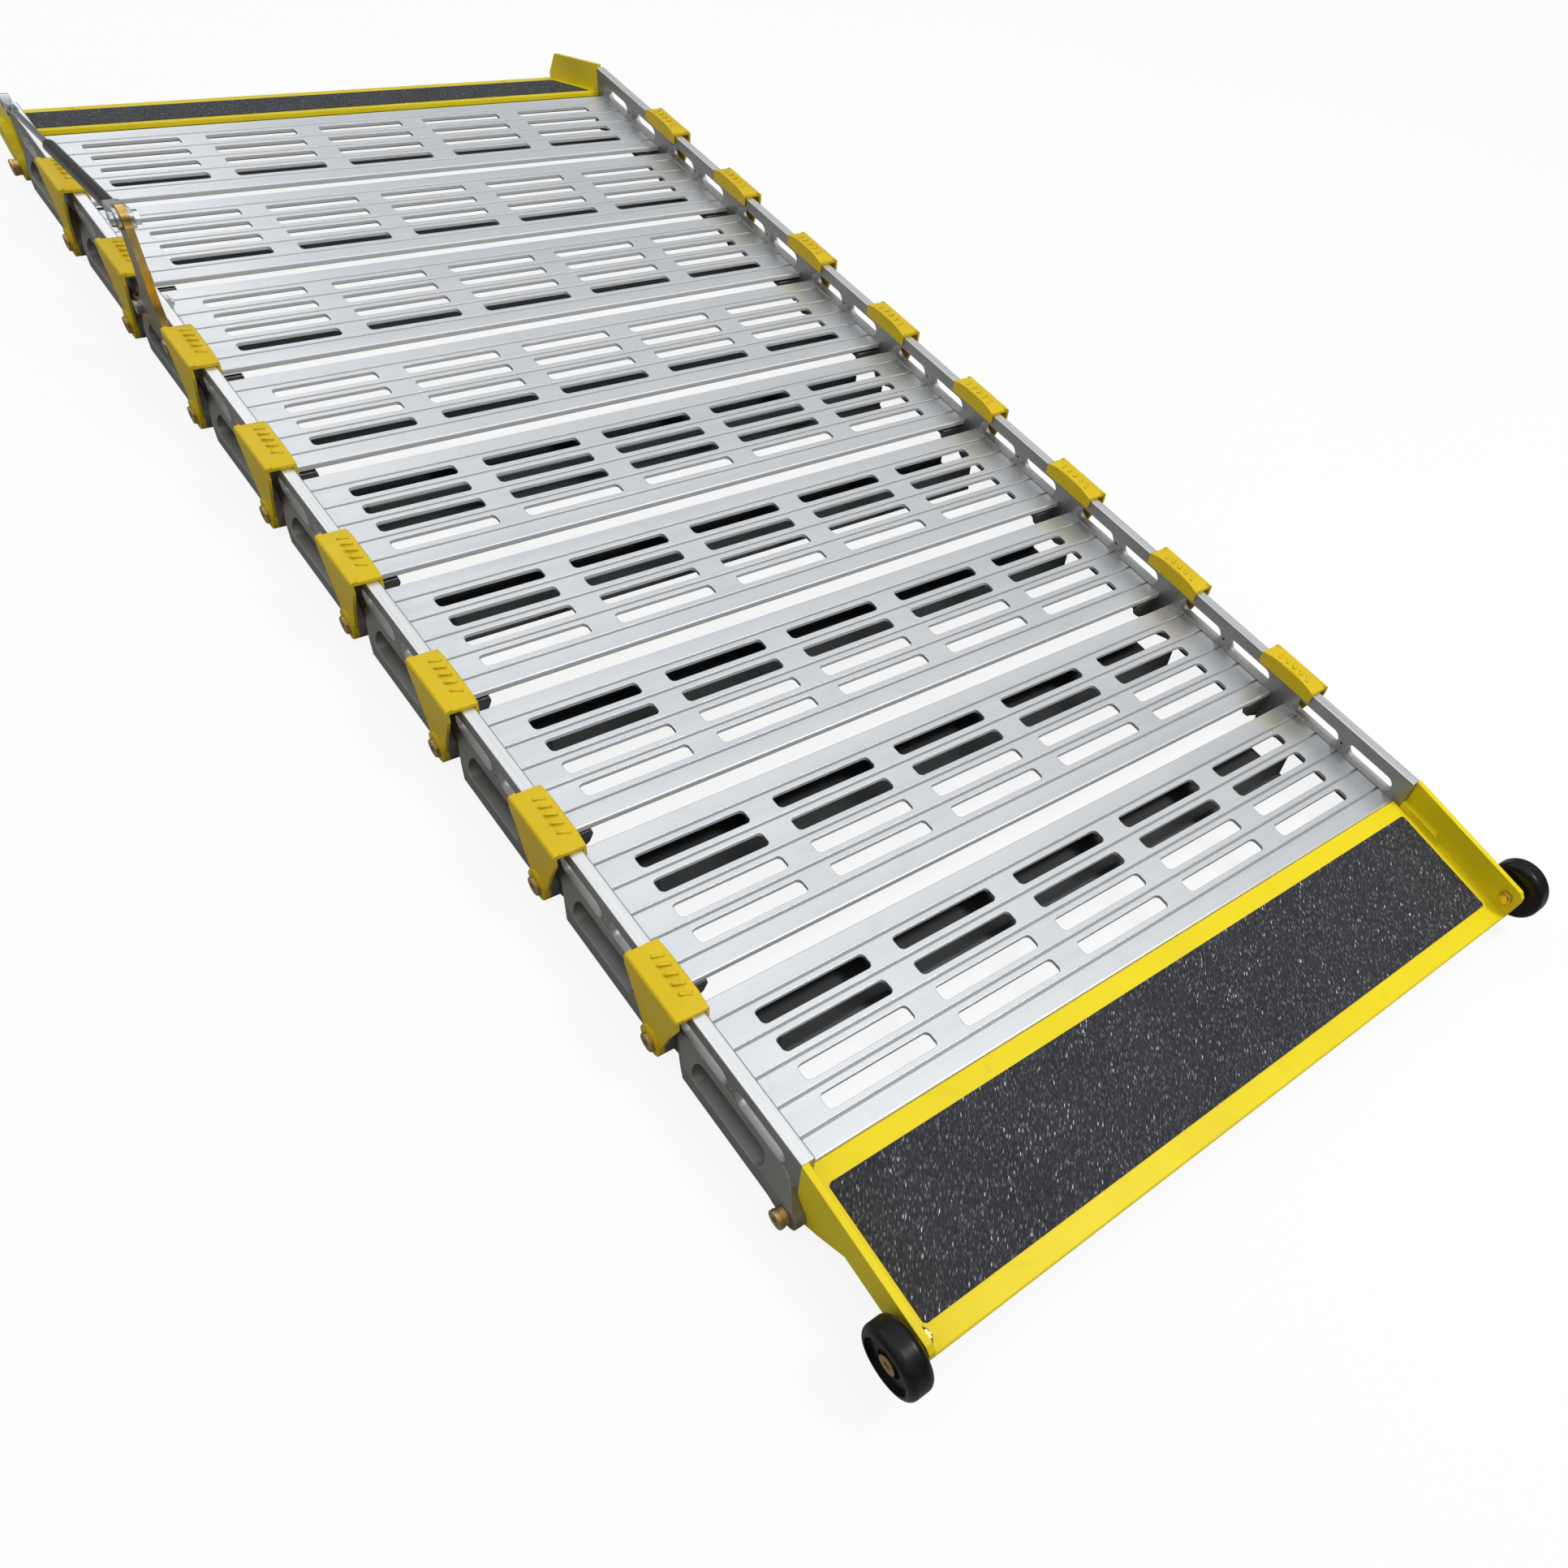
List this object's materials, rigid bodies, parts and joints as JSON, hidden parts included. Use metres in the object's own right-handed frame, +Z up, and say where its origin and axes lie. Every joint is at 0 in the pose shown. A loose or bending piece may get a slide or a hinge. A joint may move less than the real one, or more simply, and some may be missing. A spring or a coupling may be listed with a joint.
{
  "type": "folding loading ramp",
  "caption": "Roll-up aluminium loading ramp: hinged slotted links between curbed side rails, a wheeled approach plate, a far end plate and a lift strut.",
  "frame": {"origin": "centre of the footprint, on the floor the rails of the open ramp stand on", "axes": "+Y along the ramp from the wheeled approach plate to the far plate, +X to the right across it, +Z up"},
  "size_m": [0.8394, 2.0632, 0.199],
  "materials": {
    "deck_aluminium": "mill finish, grooved",
    "rail_aluminium": "satin cast",
    "yellow_powder_coat": "satin powder coat",
    "grip_tape": "coarse mineral grit",
    "wheel_rubber": "matt",
    "yellow_zinc": "yellow passivated zinc plate",
    "bright_zinc": "bright zinc plate",
    "black_tube": "gloss black",
    "ground_rod": "ground and polished"
  },
  "bodies": {
    "far_plate": {"far_plate": "yellow_powder_coat", "far_grip_tape": "grip_tape"},
    "link_9": {"link_9_deck": "deck_aluminium", "link_9_left_rail": "rail_aluminium", "link_9_right_rail": "rail_aluminium", "hinge_bolts_9": "yellow_zinc"},
    "link_8": {"link_8_deck": "deck_aluminium", "link_8_left_rail": "rail_aluminium", "link_8_right_rail": "rail_aluminium", "hinge_bolts_8": "yellow_zinc", "hinge_caps_8": "yellow_powder_coat"},
    "link_7": {"link_7_deck": "deck_aluminium", "link_7_left_rail": "rail_aluminium", "link_7_right_rail": "rail_aluminium", "hinge_bolts_7": "yellow_zinc", "hinge_caps_7": "yellow_powder_coat", "strut_bracket": "yellow_zinc", "bracket_bolts": "bright_zinc", "bracket_backing_plate": "bright_zinc"},
    "link_6": {"link_6_deck": "deck_aluminium", "link_6_left_rail": "rail_aluminium", "link_6_right_rail": "rail_aluminium", "hinge_bolts_6": "yellow_zinc", "hinge_caps_6": "yellow_powder_coat"},
    "link_5": {"link_5_deck": "deck_aluminium", "link_5_left_rail": "rail_aluminium", "link_5_right_rail": "rail_aluminium", "hinge_bolts_5": "yellow_zinc", "hinge_caps_5": "yellow_powder_coat"},
    "link_4": {"link_4_deck": "deck_aluminium", "link_4_left_rail": "rail_aluminium", "link_4_right_rail": "rail_aluminium", "hinge_bolts_4": "yellow_zinc", "hinge_caps_4": "yellow_powder_coat"},
    "link_3": {"link_3_deck": "deck_aluminium", "link_3_left_rail": "rail_aluminium", "link_3_right_rail": "rail_aluminium", "hinge_bolts_3": "yellow_zinc", "hinge_caps_3": "yellow_powder_coat"},
    "link_2": {"link_2_deck": "deck_aluminium", "link_2_left_rail": "rail_aluminium", "link_2_right_rail": "rail_aluminium", "hinge_bolts_2": "yellow_zinc", "hinge_caps_2": "yellow_powder_coat"},
    "link_1": {"link_1_deck": "deck_aluminium", "link_1_left_rail": "rail_aluminium", "link_1_right_rail": "rail_aluminium", "hinge_bolts_1": "yellow_zinc", "hinge_caps_1": "yellow_powder_coat"},
    "approach_plate": {"approach_plate": "yellow_powder_coat", "approach_grip_tape": "grip_tape", "hinge_bolts_0": "yellow_zinc", "wheel_bolts": "yellow_zinc", "wheel_nuts": "yellow_zinc"},
    "left_wheel": {"left_wheel": "wheel_rubber"},
    "right_wheel": {"right_wheel": "wheel_rubber"},
    "strut_tube": {"strut_tube": "black_tube", "strut_clevis": "bright_zinc", "strut_clevis_pin": "bright_zinc"},
    "strut_rod": {"strut_rod": "ground_rod"}
  },
  "joints": [
    {"name": "far_plate_hinge", "type": "hinge", "parent": "far_plate", "child": "link_9", "pos_m": [0, 0.8577, 0.015], "axis": [1, 0, 0], "range_deg": [-8, 22]},
    {"name": "link_8_hinge", "type": "hinge", "parent": "link_9", "child": "link_8", "pos_m": [0, 0.6677, 0.015], "axis": [1, 0, 0], "range_deg": [0, 23.5]},
    {"name": "link_7_hinge", "type": "hinge", "parent": "link_8", "child": "link_7", "pos_m": [0, 0.4777, 0.015], "axis": [1, 0, 0], "range_deg": [0, 27.1]},
    {"name": "link_6_hinge", "type": "hinge", "parent": "link_7", "child": "link_6", "pos_m": [0, 0.2877, 0.015], "axis": [1, 0, 0], "range_deg": [0, 30.7]},
    {"name": "link_5_hinge", "type": "hinge", "parent": "link_6", "child": "link_5", "pos_m": [0, 0.0977, 0.015], "axis": [1, 0, 0], "range_deg": [0, 34.3]},
    {"name": "link_4_hinge", "type": "hinge", "parent": "link_5", "child": "link_4", "pos_m": [0, -0.0923, 0.015], "axis": [1, 0, 0], "range_deg": [0, 37.9]},
    {"name": "link_3_hinge", "type": "hinge", "parent": "link_4", "child": "link_3", "pos_m": [0, -0.2823, 0.015], "axis": [1, 0, 0], "range_deg": [0, 41.5]},
    {"name": "link_2_hinge", "type": "hinge", "parent": "link_3", "child": "link_2", "pos_m": [0, -0.4723, 0.015], "axis": [1, 0, 0], "range_deg": [0, 45.1]},
    {"name": "link_1_hinge", "type": "hinge", "parent": "link_2", "child": "link_1", "pos_m": [0, -0.6623, 0.015], "axis": [1, 0, 0], "range_deg": [0, 48.7]},
    {"name": "approach_hinge", "type": "hinge", "parent": "link_1", "child": "approach_plate", "pos_m": [0, -0.8523, 0.015], "axis": [1, 0, 0], "range_deg": [0, 50]},
    {"name": "left_wheel_spin", "type": "hinge", "parent": "approach_plate", "child": "left_wheel", "pos_m": [-0.4084, -0.9996, 0.05285], "axis": [1, 0, 0], "continuous": true},
    {"name": "right_wheel_spin", "type": "hinge", "parent": "approach_plate", "child": "right_wheel", "pos_m": [0.4084, -0.9996, 0.05285], "axis": [1, 0, 0], "continuous": true},
    {"name": "strut_swing", "type": "hinge", "parent": "link_7", "child": "strut_tube", "pos_m": [-0.3965, 0.3637, 0.186], "axis": [1, 0, 0], "range_deg": [0, 95]},
    {"name": "strut_slide", "type": "slide", "parent": "strut_tube", "child": "strut_rod", "axis": [0, 0.9842, -0.1771], "range_m": [-0.12, 0]}
  ],
  "couplings": [
    {"joint": "link_7_hinge", "follows": "link_8_hinge", "ratio": 1.1532},
    {"joint": "link_6_hinge", "follows": "link_8_hinge", "ratio": 1.3064},
    {"joint": "link_5_hinge", "follows": "link_8_hinge", "ratio": 1.4596},
    {"joint": "link_4_hinge", "follows": "link_8_hinge", "ratio": 1.6128},
    {"joint": "link_3_hinge", "follows": "link_8_hinge", "ratio": 1.766},
    {"joint": "link_2_hinge", "follows": "link_8_hinge", "ratio": 1.9191},
    {"joint": "link_1_hinge", "follows": "link_8_hinge", "ratio": 2.0723}
  ]
}
